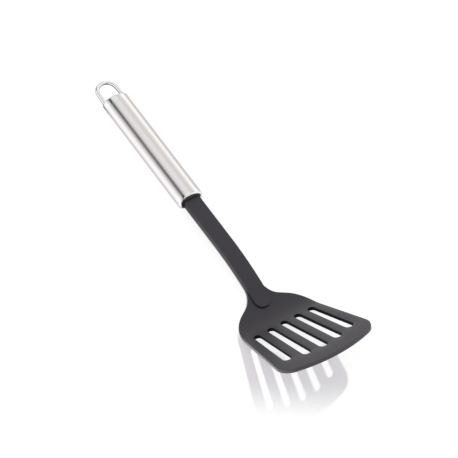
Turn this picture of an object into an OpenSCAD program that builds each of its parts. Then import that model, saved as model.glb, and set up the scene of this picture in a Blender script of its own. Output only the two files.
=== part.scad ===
// Slotted kitchen turner: a nylon head on a long neck, held in an oval steel handle with a wire hanging loop.
// It lies the way it rests on a worktop: +X runs from the handle to the blade, +Y is across and +Z is up.
// The floor is z = 0, where the back of the handle and the heel of the blade rest.
// Shapes are drawn about the handle's level axis, with x = 0 at the front face of the front cap,
// and then tilted a little on to the floor.

/* [Handle] */
// Width of the oval steel handle
handle_w = 23.2; // [21:0.2:27]
// Height of the oval steel handle
handle_h = 15.5; // [14:0.5:20]
// Wall of the steel handle tube
tube_wall = 0.8; // [0.6:0.1:1.2]
// Length of the steel handle tube
tube_l = 103.3; // [92:0.1:130]
// How far the front cap stands out of the tube
front_cap_l = 5; // [3.2:0.1:6]
// Radius that rounds the front cap's edge
front_cap_round = 1.6; // [1:0.1:2]
// How far the front cap's mouth lies inside the handle's outline
mouth_inset = 2.4; // [2.1:0.1:2.6]
// Half the height of the mouth's straight sides
mouth_side_flat = 1.6; // [0.2:0.1:2.5]
// Angle by which the handle's front face leans back at its top
mouth_slant = 13; // [0:1:16]
// How far the front cap reaches into the tube
front_spigot_l = 4; // [3:0.5:8]
// How far the rear cap stands out of the tube
rear_cap_l = 5.7; // [3:0.1:7]
// Radius that rounds the rear cap's edge
rear_cap_round = 1.9; // [1:0.1:2]
// How far the rear cap reaches into the tube
rear_spigot_l = 6; // [5:0.5:10]
// Gap between the tube, the caps and the core, and round the pin and the wire
fit_gap = 0.05; // [0.02:0.01:0.1]

/* [Hanging loop] */
// Diameter of the wire
wire_d = 3.2; // [2:0.1:3.4]
// Angle by which each leg of the loop spreads towards the handle
loop_splay = 4.5; // [0:0.1:5]
// How far the middle of the bend lies behind the rear cap
loop_reach = 10; // [9:0.1:16]
// How far the middle of each wire foot lies inside the handle's side
loop_foot_inset = 2.3; // [2.3:0.1:3.5]
// Depth of the hole that each foot of the wire sits in
seat_depth = 2.8; // [2:0.1:5]

/* [Neck] */
// How far each side of the neck lies inside the handle's side
neck_inset = 4.2; // [4.1:0.05:5.3]
// Thickness of the neck
neck_t = 5; // [4.2:0.1:5.4]
// Straight length of the neck in front of the handle
neck_straight = 45.6; // [30:0.1:70]
// Angle by which the neck dips towards the heel
neck_dip = 15.5; // [12:0.5:20]
// How far the neck's raised round end stops behind the heel's lowest line
neck_end_back = 0; // [0:0.5:8]

/* [Blade] */
// How far the heel's lowest line lies below the handle's axis
heel_drop = 11; // [9.5:0.5:14]
// Thickness of the blade
blade_t = 3.2; // [2.4:0.1:3.6]
// Radius of the heel, on its underside
heel_r = 38; // [34:1:50]
// Angle of the flat blade above the handle's axis
blade_rise = 36; // [25:1:40]
// Length of the flat blade, from the heel's bend to the middle of the front edge
flat_l = 72; // [68:1:90]
// Width of the blade where its flat part starts
heel_w = 71.2; // [68:0.2:80]
// Angle by which each side of the blade flares outwards
flare = 8; // [5:0.2:9]
// Radius of the bowed front edge
front_r = 100; // [90:5:160]
// Radius of the two front corners
front_corner_r = 13.5; // [10:0.5:18]
// Angle of the sloping shoulders
shoulder_slope = 60; // [56:1:62]
// How far behind the heel's lowest line the shoulders would meet the neck's sides
shoulder_back = 11; // [9:0.5:13]
// Radius where the shoulders turn into the sides
shoulder_r = 27; // [18:1:27]
// Radius where the neck turns into the shoulders
neck_fillet_r = 17; // [8:1:18]

/* [Slots] */
// Half width of each slot at its rear end
slot_rear_r = 2.9; // [2.4:0.1:3.2]
// Half width of each slot at its front end
slot_front_r = 3.7; // [3:0.1:4]
// Distance between neighbouring slots at their rear ends
slot_rear_pitch = 12.9; // [11.5:0.1:13.2]
// Distance between neighbouring slots at their front ends
slot_front_pitch = 14.65; // [13.5:0.05:15]
// Place of the middle slot's rear end, from the start of the flat
slot_rear_at = 1.5; // [1:0.5:8]
// Place of the middle slot's front end, from the start of the flat
slot_front_at = 53.8; // [40:0.2:54]
// How much further forward the rear end of each next slot lies
slot_rear_offset = 0.35; // [0:0.05:1]
// How much the first slot beside the middle one stops short, and four times that for the outer one
slot_front_setback = 1.65; // [1:0.05:3]

/* [Collar and core] */
// How far the collar's face lies behind the front cap's face
collar_recess = 0.2; // [0:0.1:1]
// Depth of the groove between the collar's face and the neck
groove_depth = 0.5; // [0.2:0.1:1]
// Width of the groove between the collar's face and the neck
groove_w = 0.4; // [0.2:0.1:0.5]
// Radius that rounds the groove's four corners
groove_corner_r = 1.2; // [1:0.1:1.6]
// Width of the head's tang inside the handle
tang_w = 12; // [8:0.5:12]
// Thickness of the head's tang inside the handle
tang_t = 4; // [3:0.1:4]
// Length of the head's tang inside the core
tang_l = 60; // [45:1:70]
// Length of the core that fills the front of the tube
core_l = 68; // [64:1:74]
// Diameter of the pin that locks the tang
pin_d = 3; // [2:0.1:4]
// Distance from the front of the core to the pin
pin_at = 33; // [20:1:36]
// Gap between the neck or tang and what holds it
slip_gap = 0.1; // [0.05:0.05:0.15]

/* [Hidden] */

// How far a cut runs past what it cuts
overrun = 1;
// Steps along each rounded stretch of an outline
arc_steps = 18;
// Steps round each rounded edge of a cap
edge_steps = 8;
// Fragments of a full round
round_fn = 96;
// Sides of the handle's oval, counted so that it rests on a flat one and not on a corner
oval_fn = 70;
// Sides of the wire
wire_fn = 32;

// Handle, from its front face back: x = 0 is that face at the handle's axis
neck_w = handle_w - 2 * neck_inset;
mouth_w = handle_w - 2 * mouth_inset;
mouth_h = handle_h - 2 * mouth_inset;
mouth_corner_r = mouth_h / 2 - mouth_side_flat;
core_x = -front_cap_l - front_spigot_l;
tube_front_x = -front_cap_l;
tube_rear_x = tube_front_x - tube_l;
rear_face_x = tube_rear_x - rear_cap_l;
loop_c_x = rear_face_x - loop_reach;
pin_r = pin_d / 2;
pin_x = core_x - pin_at;

// Hanging loop: each leg runs straight from its foot and meets the bend at a tangent
wire_r = wire_d / 2;
foot_y = handle_w / 2 - loop_foot_inset;
loop_r = foot_y * cos(loop_splay) - loop_reach * sin(loop_splay);
leg_l = (loop_reach + loop_r * sin(loop_splay)) / cos(loop_splay);

// Side view of the neck and blade: centres of the two bends, and the radius of the upper one on the underside
neck_bend_r = (heel_drop - neck_t / 2) / (1 - cos(neck_dip)) - heel_r;
neck_bend_c = [neck_straight, -neck_t / 2 - neck_bend_r];
heel_c = [neck_straight + (neck_bend_r + heel_r) * sin(neck_dip), heel_r - heel_drop];
flat_start = heel_c + heel_r * [sin(blade_rise), -cos(blade_rise)];

// Plan view of the blade
neck_end_r = neck_w / 2;
shoulder_foot = [heel_c.x - shoulder_back, neck_w / 2];
side_foot = [flat_start.x, heel_w / 2];

// How it rests: one line touches the heel and the rear cap's rounded underside
rest_c = [rear_face_x + rear_cap_round, rear_cap_round - handle_h / 2];
rest_way = heel_c - rest_c;
rest_tilt = asin((heel_r - rear_cap_round) / norm(rest_way)) - atan2(rest_way.y, rest_way.x);
rest_lift = rear_cap_round - rest_c * [sin(rest_tilt), cos(rest_tilt)];

// Where the origin lies: under the middle of the whole length
front_top = flat_start + flat_l * [cos(blade_rise), sin(blade_rise)];
front_x = front_top * [cos(rest_tilt), -sin(rest_tilt)];
loop_end_x = loop_c_x - loop_r;
rear_x = loop_end_x * cos(rest_tilt) - wire_r;
middle_x = (front_x + rear_x) / 2;

nylon = [0.24, 0.235, 0.245];
collar_black = [0.16, 0.16, 0.165];
core_grey = [0.55, 0.55, 0.56];
brushed = [0.8, 0.79, 0.78];
polished = [0.88, 0.88, 0.89];

// A direction in the plane at this angle
function heading(angle) = [cos(angle), sin(angle)];

function unit(v) = v / norm(v);

function reversed(points) = [for (i = [len(points) - 1 : -1 : 0]) points[i]];

// Points along an arc from one angle to the other
function arc(centre, radius, from, to) =
  [for (i = [0 : arc_steps]) centre + radius * heading(from + (to - from) * i / arc_steps)];

// Where the line through p at angle a meets the line through q at angle b
function meeting(p, a, q, b) =
  p + heading(a) * cross(q - p, heading(b)) / cross(heading(a), heading(b));

// The arc that rounds the corner at b between a and c
function rounded(a, b, c, radius) =
  let (
    u = unit(a - b),
    v = unit(c - b),
    half = acos(u * v) / 2,
    centre = b + unit(u + v) * radius / sin(half),
    from_way = unit(b + u * radius / tan(half) - centre),
    turn = (180 - 2 * half) * sign(cross(u, v)),
    from = atan2(from_way.y, from_way.x)
  )
  arc(centre, radius, from, from - turn);

// The outline that these points of one half make with their mirror image
function both_halves(points) = concat(points, reversed([for (p = points) [p.x, -p.y]]));

// The handle's oval, drawn in by this much
function oval(inset) =
  [for (i = [0 : oval_fn - 1])
    [(handle_w / 2 - inset) * cos(360 * i / oval_fn), (handle_h / 2 - inset) * sin(360 * i / oval_fn)]];

// A rounded block's outline, centred
function round_block(width, height, radius) =
  let (c = [width / 2 - radius, height / 2 - radius])
  concat(
    arc(c, radius, 0, 90),
    arc([-c.x, c.y], radius, 90, 180),
    arc(-c, radius, 180, 270),
    arc([c.x, -c.y], radius, 270, 360)
  );

// The stations of a rounded edge that ends at this x, from the full oval to the end face
function edge_stations(end_x, radius, way) =
  [for (i = [0 : edge_steps])
    [end_x - way * radius * (1 - sin(90 * i / edge_steps)), radius * (1 - cos(90 * i / edge_steps))]];

// Side view of the line that runs this far above the underside, from the collar to past the front edge
function side_line(lift) =
  concat(
    [[core_x, lift - neck_t / 2]],
    arc(neck_bend_c, neck_bend_r + lift, 90, 90 - neck_dip),
    arc(heel_c, heel_r - lift, 270 - neck_dip, 270 + blade_rise),
    [heel_c + (heel_r - lift) * [sin(blade_rise), -cos(blade_rise)]
      + (flat_l + overrun) * heading(blade_rise)]
  );

// The strip of this thickness on the underside line, drawn right across the blade
module side_strip(thickness, width) {
  rotate([90, 0, 0])
    linear_extrude(width, center = true)
      polygon(concat(side_line(0), reversed(side_line(thickness))));
}

// An outline seen from above, taken up and down through everything
module seen_from_above(points) {
  translate([0, 0, -2 * handle_w])
    linear_extrude(6 * handle_w)
      polygon(points);
}

// Puts a shape drawn square to the flat blade in its place, with x from the start of the flat
module on_flat() {
  translate([flat_start.x, 0, flat_start.y])
    rotate([0, -blade_rise, 0])
      children();
}

// The heel's outline from above: neck, fillet, shoulder and the start of the side
heel_half = let (shoulder_top = meeting(shoulder_foot, shoulder_slope, side_foot, flare))
  concat(
    [[shoulder_foot.x - neck_fillet_r, 0], [shoulder_foot.x - neck_fillet_r, neck_w / 2]],
    rounded([shoulder_foot.x - neck_fillet_r, neck_w / 2], shoulder_foot, shoulder_top, neck_fillet_r),
    rounded(shoulder_foot, shoulder_top, side_foot, shoulder_r),
    [side_foot + overrun * heading(flare)]
  );

// The flat's outline, square to the blade: its side, front corner and bowed front edge
flat_side = [0, heel_w / 2];
front_c = [flat_l - front_r, 0];
corner_c = let (
    start = flat_side + front_corner_r * [sin(flare), -cos(flare)],
    from_front_c = start - front_c,
    along = from_front_c * heading(flare),
    short = norm(from_front_c) ^ 2 - (front_r - front_corner_r) ^ 2
  )
  start + heading(flare) * (sqrt(along ^ 2 - short) - along);
corner_end = atan2(corner_c.y - front_c.y, corner_c.x - front_c.x);
flat_half = concat(
  [flat_side - overrun * heading(flare)],
  arc(corner_c, front_corner_r, 90 + flare, corner_end),
  arc(front_c, front_r, corner_end, 0)
);

module blade() {
  intersection() {
    side_strip(blade_t, 2 * heel_w);
    union() {
      seen_from_above(both_halves(heel_half));
      on_flat()
        translate([0, 0, -blade_t])
          linear_extrude(3 * blade_t)
            polygon(both_halves(flat_half));
    }
  }
}

// The neck, thicker than the blade, with its raised round end on the heel
module neck() {
  end_x = heel_c.x - neck_end_back;
  intersection() {
    side_strip(neck_t, 2 * neck_w);
    translate([0, 0, -2 * handle_w])
      linear_extrude(4 * handle_w) {
        translate([core_x, -neck_w / 2])
          square([end_x - neck_end_r - core_x, neck_w]);
        translate([end_x - neck_end_r, 0])
          circle(neck_end_r, $fn = round_fn);
      }
  }
}

module tang() {
  translate([core_x - tang_l, -tang_w / 2, -tang_t / 2])
    cube([tang_l + overrun, tang_w, tang_t]);
}

// One slot through the blade, counted from the middle one, its sides touching both round ends
module slot(count) {
  rear = [slot_rear_at + slot_rear_offset * abs(count), slot_rear_pitch * count];
  front = [slot_front_at - slot_front_setback * count ^ 2, slot_front_pitch * count];
  way = atan2(front.y - rear.y, front.x - rear.x);
  lean = asin((slot_front_r - slot_rear_r) / norm(front - rear));
  on_flat()
    translate([0, 0, -blade_t])
      linear_extrude(3 * blade_t)
        polygon(concat(
          arc(rear, slot_rear_r, way + 90 + lean, way + 270 - lean),
          arc(front, slot_front_r, way - 90 - lean, way + 90 + lean)
        ));
}

// A bar of this outline along the handle's axis, from the first x to the second
module bar(from_x, to_x, outline) {
  translate([from_x, 0, 0])
    rotate([90, 0, 90])
      linear_extrude(to_x - from_x)
        polygon(outline);
}

// An oval body through these stations, each an x and how far the oval draws in there
// Its last end leans back at the top by this angle, and the lean fades out towards its first end
module oval_body(stations, slant = 0) {
  last = len(stations) - 1;
  first_x = stations[0].x;
  length = stations[last].x - first_x;
  points = [for (s = stations) for (p = oval(s.y))
    [s.x - p.y * tan(slant) * (s.x - first_x) / length, p.x, p.y]];
  sides = [for (j = [0 : last - 1]) for (i = [0 : oval_fn - 1])
    let (here = j * oval_fn, next = (i + 1) % oval_fn)
    [here + i, here + i + oval_fn, here + next + oval_fn, here + next]];
  polyhedron(
    points,
    concat(
      [[for (i = [0 : oval_fn - 1]) i]],
      sides,
      [[for (i = [oval_fn - 1 : -1 : 0]) last * oval_fn + i]]
    )
  );
}

// A block centred on the handle's axis, from the first x to the second
module block(from_x, to_x, width, thickness) {
  translate([from_x, -width / 2, -thickness / 2])
    cube([to_x - from_x, width, thickness]);
}

// The pin's own line, up and down through the tang
module upright(radius, reach) {
  translate([pin_x, 0, -reach])
    cylinder(r = radius, h = 2 * reach, $fn = round_fn / 2);
}

// Moves a shape from the handle's axis to where the whole turner rests
module at_rest() {
  translate([-middle_x, 0, rest_lift])
    rotate([0, -rest_tilt, 0])
      children();
}

module slotted_head() {
  color(nylon)
    at_rest()
      difference() {
        union() {
          neck();
          blade();
          tang();
        }
        for (count = [-2 : 2])
          slot(count);
        upright(pin_r + fit_gap, handle_h);
      }
}

// Everything in front of a plane that leans back like the mouth, this far behind the handle's front face
module in_front(distance) {
  translate([-distance, 0, 0])
    rotate([0, -mouth_slant, 0])
      block(0, handle_w, 2 * handle_w, 2 * handle_w);
}

// The mouth's outline, drawn in by this much, from the back of the front cap to past its face
module mouth_bar(from_x, inset) {
  bar(from_x, handle_h, round_block(mouth_w - 2 * inset, mouth_h - 2 * inset, mouth_corner_r - inset));
}

module neck_collar() {
  groove_edge = slip_gap + groove_w;
  color(collar_black)
    at_rest()
      difference() {
        mouth_bar(core_x, slip_gap);
        block(core_x - overrun, handle_h + overrun, neck_w + 2 * slip_gap, neck_t + 2 * slip_gap);
        in_front(collar_recess);
        intersection() {
          bar(
            core_x, handle_h,
            round_block(neck_w + 2 * groove_edge, neck_t + 2 * groove_edge, groove_corner_r)
          );
          in_front(collar_recess + groove_depth);
        }
      }
}

module front_cap() {
  color(polished)
    at_rest()
      difference() {
        union() {
          bar(core_x, tube_front_x, oval(tube_wall + fit_gap));
          oval_body(concat([[tube_front_x, 0]], edge_stations(0, front_cap_round, 1)), mouth_slant);
        }
        mouth_bar(core_x - overrun, 0);
      }
}

module handle_tube() {
  color(brushed)
    at_rest()
      difference() {
        bar(tube_rear_x, tube_front_x, oval(0));
        bar(tube_rear_x - overrun, tube_front_x + overrun, oval(tube_wall));
      }
}

module handle_core() {
  color(core_grey)
    at_rest()
      difference() {
        bar(core_x - core_l, core_x, oval(tube_wall + fit_gap));
        block(core_x - tang_l - slip_gap, core_x + overrun, tang_w + 2 * slip_gap, tang_t + 2 * slip_gap);
        upright(pin_r + fit_gap, handle_h);
      }
}

module lock_pin() {
  color(polished)
    at_rest()
      upright(pin_r, handle_h / 2 - tube_wall - 2 * fit_gap);
}

// One leg of the hanging loop, its radius and its length set so that the same form cuts the seat
module loop_leg(radius, length) {
  translate([loop_c_x, 0, 0])
    rotate([0, 0, 90 + loop_splay])
      translate([loop_r, 0, 0])
        rotate([90, 0, 0])
          cylinder(r = radius, h = length, $fn = wire_fn);
}

module rear_cap() {
  color(polished)
    at_rest()
      difference() {
        union() {
          bar(tube_rear_x, tube_rear_x + rear_spigot_l, oval(tube_wall + fit_gap));
          oval_body(concat(reversed(edge_stations(rear_face_x, rear_cap_round, -1)), [[tube_rear_x, 0]]));
        }
        for (side = [0, 1])
          mirror([0, side, 0])
            loop_leg(wire_r + fit_gap, leg_l + seat_depth);
      }
}

// Half of the hanging loop: its bend is drawn past the middle and cut off there
module half_loop() {
  intersection() {
    union() {
      translate([loop_c_x, 0, 0])
        rotate([0, 0, 90 + loop_splay])
          rotate_extrude(angle = 90, $fn = round_fn)
            translate([loop_r, 0])
              circle(wire_r, $fn = wire_fn);
      loop_leg(wire_r, leg_l + seat_depth - fit_gap);
    }
    translate([loop_end_x - wire_d, 0, -wire_d])
      cube([loop_reach + handle_w, handle_w, 2 * wire_d]);
  }
}

module hanging_loop() {
  color(polished)
    at_rest() {
      half_loop();
      mirror([0, 1, 0])
        half_loop();
    }
}

slotted_head();
neck_collar();
front_cap();
handle_tube();
handle_core();
lock_pin();
rear_cap();
hanging_loop();
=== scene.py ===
"""Slotted kitchen turner: nylon head on a long neck, oval steel handle and wire hanging loop.

Shapes are drawn in millimetres in the handle's own frame: x = 0 at the front face of the front cap, +X
towards the blade, +Y across and +Z up. Each finished mesh is then laid down on the floor, in metres, where
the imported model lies.
"""

import logging
import math
from dataclasses import dataclass, field
from enum import Enum
from typing import Optional, Sequence, Union

import bmesh
import bpy
from mathutils import Matrix, Vector

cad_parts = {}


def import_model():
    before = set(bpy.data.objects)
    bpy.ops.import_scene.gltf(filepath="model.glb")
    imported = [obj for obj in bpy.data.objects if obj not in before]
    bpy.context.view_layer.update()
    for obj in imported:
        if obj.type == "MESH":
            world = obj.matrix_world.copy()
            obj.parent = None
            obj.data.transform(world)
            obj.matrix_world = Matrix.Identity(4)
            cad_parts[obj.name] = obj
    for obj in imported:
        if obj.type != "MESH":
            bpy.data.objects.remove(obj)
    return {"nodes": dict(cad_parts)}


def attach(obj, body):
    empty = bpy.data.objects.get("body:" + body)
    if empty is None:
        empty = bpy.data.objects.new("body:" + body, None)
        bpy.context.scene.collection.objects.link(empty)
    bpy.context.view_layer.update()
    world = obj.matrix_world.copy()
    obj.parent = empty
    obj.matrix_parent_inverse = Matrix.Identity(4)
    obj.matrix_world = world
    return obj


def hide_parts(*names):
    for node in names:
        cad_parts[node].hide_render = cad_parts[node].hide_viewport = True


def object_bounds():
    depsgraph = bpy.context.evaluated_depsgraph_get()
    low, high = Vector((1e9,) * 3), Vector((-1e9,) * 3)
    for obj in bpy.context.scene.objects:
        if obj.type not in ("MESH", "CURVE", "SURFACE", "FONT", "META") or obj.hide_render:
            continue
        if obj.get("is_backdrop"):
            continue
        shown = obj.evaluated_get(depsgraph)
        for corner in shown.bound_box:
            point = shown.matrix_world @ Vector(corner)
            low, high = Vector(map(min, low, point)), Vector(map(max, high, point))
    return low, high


LOG = logging.getLogger("turner")
MM = 0.001
CUT_GAP = 1e-5
MERGE_GAP = 1e-4
SMOOTH_ANGLE = 35.0
# Name of the face attribute that marks the slots' walls for painted shade
PAINTED_SHADE_LAYER = "painted_slot_shade"
Point = tuple[float, float]
Coords = tuple[float, float, float]
Colour = tuple[float, float, float]
Number = Union[int, float]
Mesh = bmesh.types.BMesh
Edges = list[bmesh.types.BMEdge]
Material = bpy.types.Material
Object = bpy.types.Object


class Facing(Enum):
    """Which way an end face of the handle looks along it."""

    FRONT = 1
    REAR = -1


class Axis(Enum):
    """A coordinate of a vector."""

    X = "X"
    Y = "Y"
    Z = "Z"


class Ray(Enum):
    """Kinds of light ray that a material can tell apart."""

    CAMERA = "Is Camera Ray"
    GLOSSY = "Is Glossy Ray"
    TRANSMISSION = "Is Transmission Ray"


# Sizes


@dataclass(frozen=True)
class Sizes:
    """Driving sizes of the whole turner, in millimetres and degrees, as its drawing has them."""

    # Handle
    handle_w: float = 23.2
    handle_h: float = 15.5
    tube_wall: float = 0.8
    tube_l: float = 103.3
    front_cap_l: float = 5.0
    front_cap_round: float = 1.6
    mouth_inset: float = 2.4
    mouth_side_flat: float = 1.6
    mouth_slant: float = 13.0
    front_spigot_l: float = 4.0
    rear_cap_l: float = 5.7
    rear_cap_round: float = 1.9
    rear_spigot_l: float = 6.0
    # Hanging loop
    wire_d: float = 3.2
    loop_splay: float = 4.5
    loop_reach: float = 10.0
    loop_foot_inset: float = 2.3
    seat_depth: float = 2.8
    # Neck and blade
    neck_inset: float = 4.2
    neck_t: float = 5.0
    neck_straight: float = 45.6
    neck_dip: float = 15.5
    heel_drop: float = 11.0
    blade_t: float = 3.2
    heel_r: float = 38.0
    blade_rise: float = 36.0
    flat_l: float = 72.0
    heel_w: float = 71.2
    flare: float = 8.0
    front_r: float = 100.0
    front_corner_r: float = 13.5
    shoulder_slope: float = 60.0
    shoulder_back: float = 11.0
    shoulder_r: float = 27.0
    neck_fillet_r: float = 17.0
    # Collar and gaps
    collar_recess: float = 0.2
    groove_depth: float = 0.5
    groove_w: float = 0.4
    groove_corner_r: float = 1.2
    fit_gap: float = 0.05
    slip_gap: float = 0.1

    @property
    def neck_w(self) -> float:
        """Width of the neck."""
        return self.handle_w - 2 * self.neck_inset

    @property
    def tube_front_x(self) -> float:
        """Where the front cap meets the tube."""
        return -self.front_cap_l

    @property
    def tube_rear_x(self) -> float:
        """Where the rear cap meets the tube."""
        return self.tube_front_x - self.tube_l

    @property
    def rear_face_x(self) -> float:
        """The rear cap's end face."""
        return self.tube_rear_x - self.rear_cap_l

    @property
    def loop_r(self) -> float:
        """Radius of the hanging loop's bend, to the middle of the wire."""
        splay = math.radians(self.loop_splay)
        foot_y = self.handle_w / 2 - self.loop_foot_inset
        return foot_y * math.cos(splay) - self.loop_reach * math.sin(splay)

    @property
    def neck_bend_r(self) -> float:
        """Radius of the neck's upper bend, on its underside."""
        drop = self.heel_drop - self.neck_t / 2
        return drop / (1 - math.cos(math.radians(self.neck_dip))) - self.heel_r

    @property
    def heel_c(self) -> Point:
        """Centre of the heel's bend, in the side view."""
        reach = (self.neck_bend_r + self.heel_r) * math.sin(math.radians(self.neck_dip))
        return self.neck_straight + reach, self.heel_r - self.heel_drop

    @property
    def flat_start(self) -> Point:
        """Where the flat blade starts, on its underside, in the side view."""
        rise = math.radians(self.blade_rise)
        x, z = self.heel_c
        return x + self.heel_r * math.sin(rise), z - self.heel_r * math.cos(rise)


@dataclass(frozen=True)
class Placement:
    """How the turner lies on the floor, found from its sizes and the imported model's box."""

    tilt: float
    shift: Vector

    @staticmethod
    def resting(low: Vector, sizes: Sizes) -> "Placement":
        """Tilts the turner until its heel and its rear cap touch the floor.

        Args:
            low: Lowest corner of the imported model, in metres.
            sizes: The turner's sizes.

        Returns:
            The tilt in radians and the shift in metres.
        """
        rest_x = sizes.rear_face_x + sizes.rear_cap_round
        rest_z = sizes.rear_cap_round - sizes.handle_h / 2
        way_x, way_z = sizes.heel_c[0] - rest_x, sizes.heel_c[1] - rest_z
        lean = math.asin((sizes.heel_r - sizes.rear_cap_round) / math.hypot(way_x, way_z))
        tilt = lean - math.atan2(way_z, way_x)
        lift = sizes.rear_cap_round - rest_x * math.sin(tilt) - rest_z * math.cos(tilt)
        loop_end = (sizes.rear_face_x - sizes.loop_reach - sizes.loop_r) * math.cos(tilt)
        rear_end = loop_end - sizes.wire_d / 2
        return Placement(tilt, Vector((low.x - rear_end * MM, 0, lift * MM)))

    @property
    def matrix(self) -> Matrix:
        """From the handle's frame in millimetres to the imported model's frame in metres."""
        turn = Matrix.Rotation(-self.tilt, 4, "Y")
        return Matrix.Translation(self.shift) @ turn @ Matrix.Scale(MM, 4)


# Shader maths


@dataclass(frozen=True)
class Step:
    """A smooth step: the values where it starts and ends, and its results there."""

    start: float
    end: float
    low: float = 0.0
    high: float = 1.0


@dataclass(frozen=True)
class Wire:
    """An output socket that takes part in Python expressions; each operator adds its Math node."""

    shop: "NodeShop"
    socket: bpy.types.NodeSocket

    def _maths(self, operation: str, *values: Union["Wire", Number]) -> "Wire":
        """Adds one Math node on these values."""
        return self.shop.node("ShaderNodeMath", {"operation": operation}, dict(enumerate(values)))

    def __add__(self, other: Union["Wire", Number]) -> "Wire":
        """Sum."""
        return self._maths("ADD", self, other)

    __radd__ = __add__

    def __sub__(self, other: Union["Wire", Number]) -> "Wire":
        """Difference."""
        return self._maths("SUBTRACT", self, other)

    def __rsub__(self, other: Number) -> "Wire":
        """Difference from a number."""
        return self._maths("SUBTRACT", other, self)

    def __mul__(self, other: Union["Wire", Number]) -> "Wire":
        """Product."""
        return self._maths("MULTIPLY", self, other)

    __rmul__ = __mul__

    def __truediv__(self, other: Union["Wire", Number]) -> "Wire":
        """Quotient."""
        return self._maths("DIVIDE", self, other)

    def __rtruediv__(self, other: Number) -> "Wire":
        """Quotient of a number."""
        return self._maths("DIVIDE", other, self)

    def larger(self, other: "Wire") -> "Wire":
        """The larger of two values."""
        return self._maths("MAXIMUM", self, other)

    def angle(self, across: "Wire") -> "Wire":
        """Angle of this height over that breadth, in radians."""
        return self._maths("ARCTAN2", self, across)

    def swing(self, width: float) -> "Wire":
        """A pattern from 0 to 1, brought to this width with 0 in its middle."""
        return (self - 0.5) * width

    def shared(self, other: "Wire", share: float) -> "Wire":
        """This share of one pattern, and the rest of another."""
        return self * share + other * (1 - share)

    def through(self, step: Step) -> "Wire":
        """This value put through a smooth step."""
        inputs = {"Value": self, "From Min": step.start, "From Max": step.end}
        inputs |= {"To Min": step.low, "To Max": step.high}
        return self.shop.node("ShaderNodeMapRange", {"interpolation_type": "SMOOTHSTEP"}, inputs)


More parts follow.
